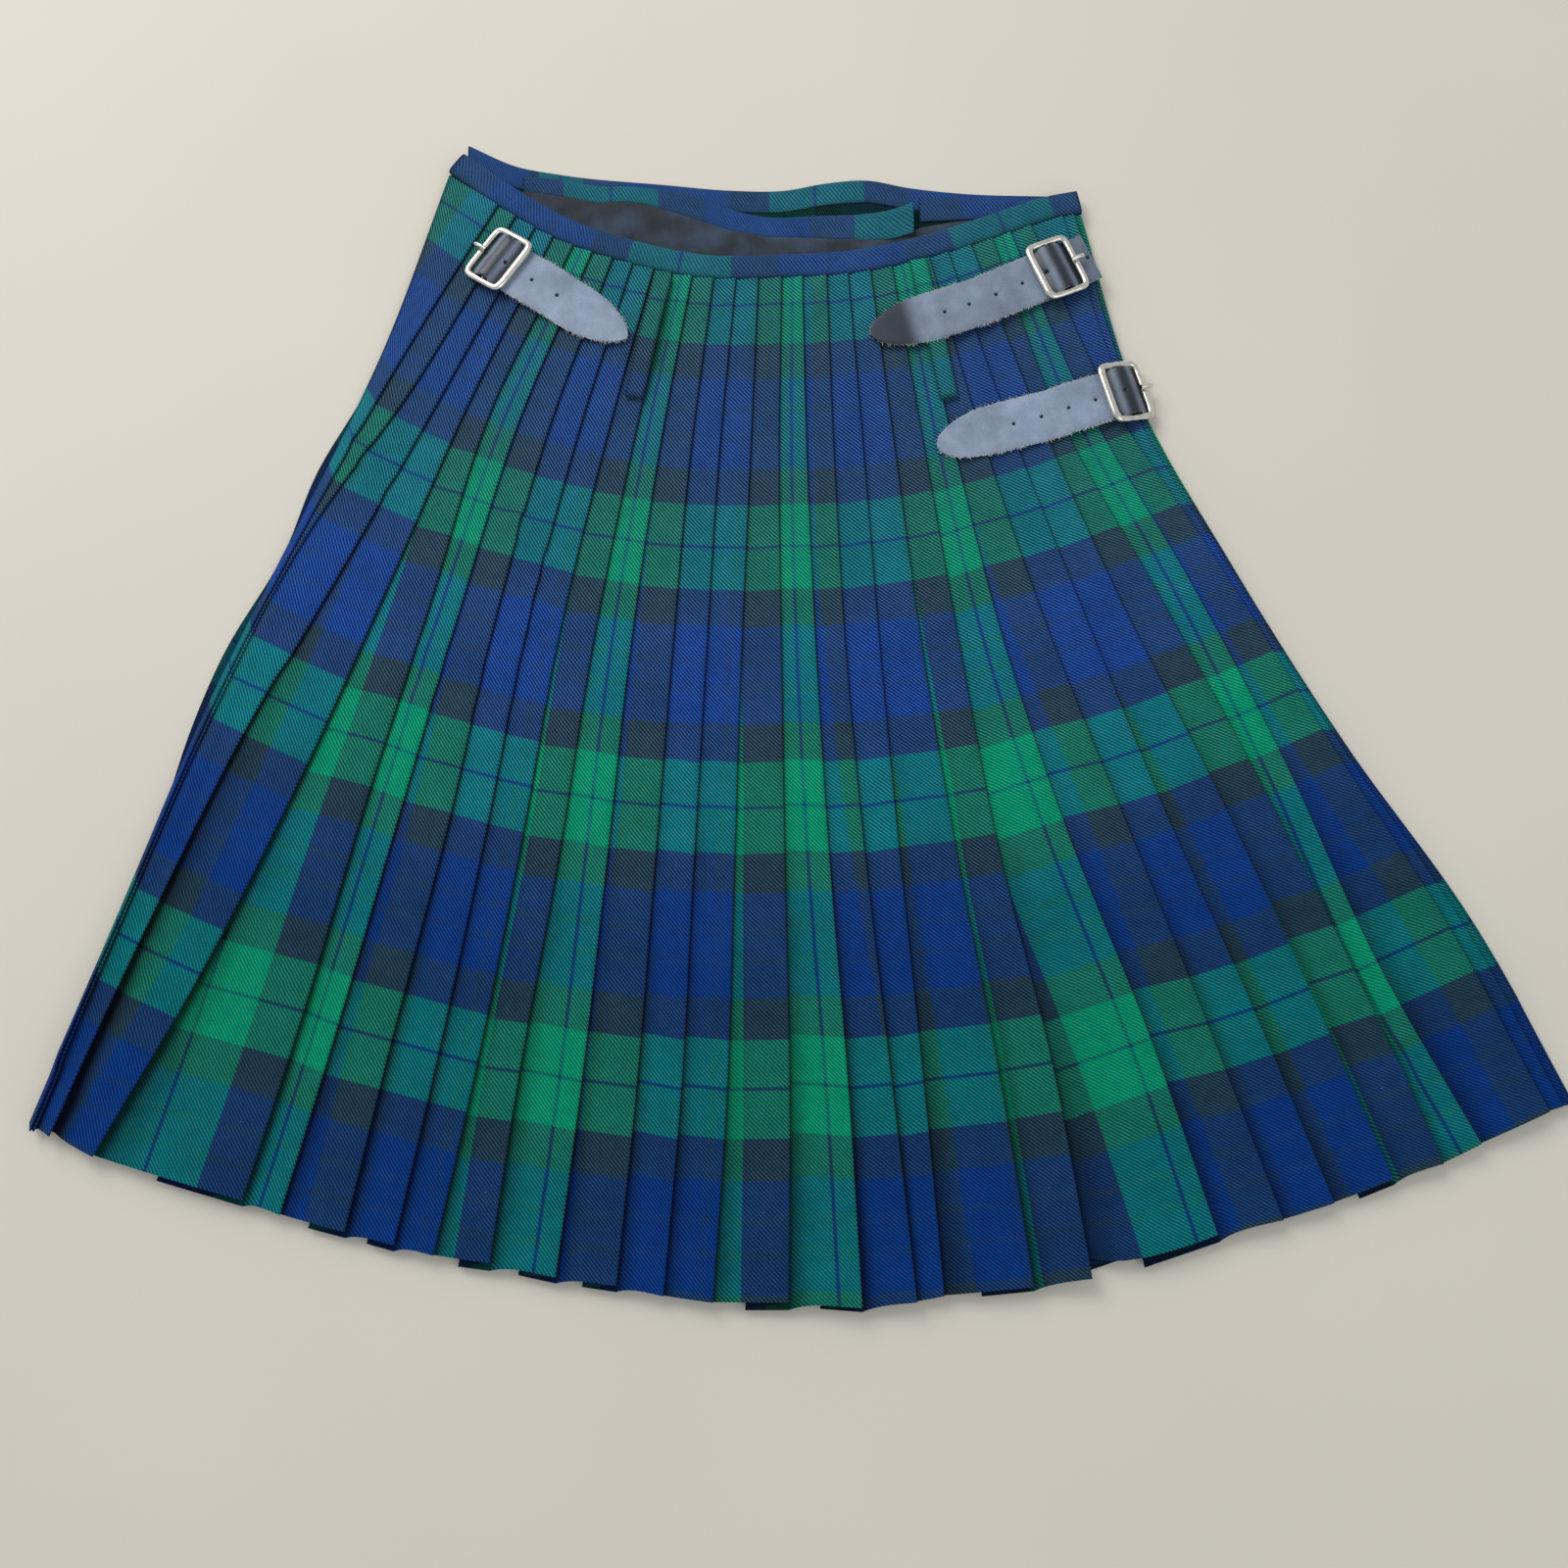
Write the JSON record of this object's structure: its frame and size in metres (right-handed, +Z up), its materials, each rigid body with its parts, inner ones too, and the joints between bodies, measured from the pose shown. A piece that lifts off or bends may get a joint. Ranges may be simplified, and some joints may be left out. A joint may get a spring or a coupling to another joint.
{
  "type": "scottish kilt",
  "caption": "Pleated wrap skirt of checked wool cloth laid flat with its knife pleats up, closed by leather straps and buckles, with two belt loops.",
  "frame": {"origin": "middle of the kilt's footprint, on the surface that it lies on", "axes": "+X across the kilt to the right as seen from above, +Y from the hem to the waist, +Z up from the surface"},
  "size_m": [0.8278, 0.6862, 0.0171],
  "materials": {
    "tartan_cloth": "twill-woven wool in green, blue and black checks, matt with a soft nap",
    "lining_cloth": "plain dark cotton lining, softly wrinkled",
    "strap_leather": "black leather worn grey, with pale frayed edges",
    "buckle_metal": "polished nickel plate"
  },
  "bodies": {
    "root": {"pleated_back": "tartan_cloth", "over_apron": "tartan_cloth", "under_apron": "tartan_cloth", "lining": "lining_cloth", "waistband_back": "tartan_cloth", "waistband_over": "tartan_cloth", "waistband_under": "tartan_cloth", "waistband_side": "tartan_cloth", "belt_loop_left": "tartan_cloth", "belt_loop_right": "tartan_cloth", "strap_left": "strap_leather", "strap_right_upper": "strap_leather", "strap_right_lower": "strap_leather", "tab_left": "strap_leather", "tab_right_upper": "strap_leather", "tab_right_lower": "strap_leather", "buckle_left": "buckle_metal", "buckle_right_upper": "buckle_metal", "buckle_right_lower": "buckle_metal", "prong_left": "buckle_metal", "prong_right_upper": "buckle_metal", "prong_right_lower": "buckle_metal"}
  },
  "joints": []
}
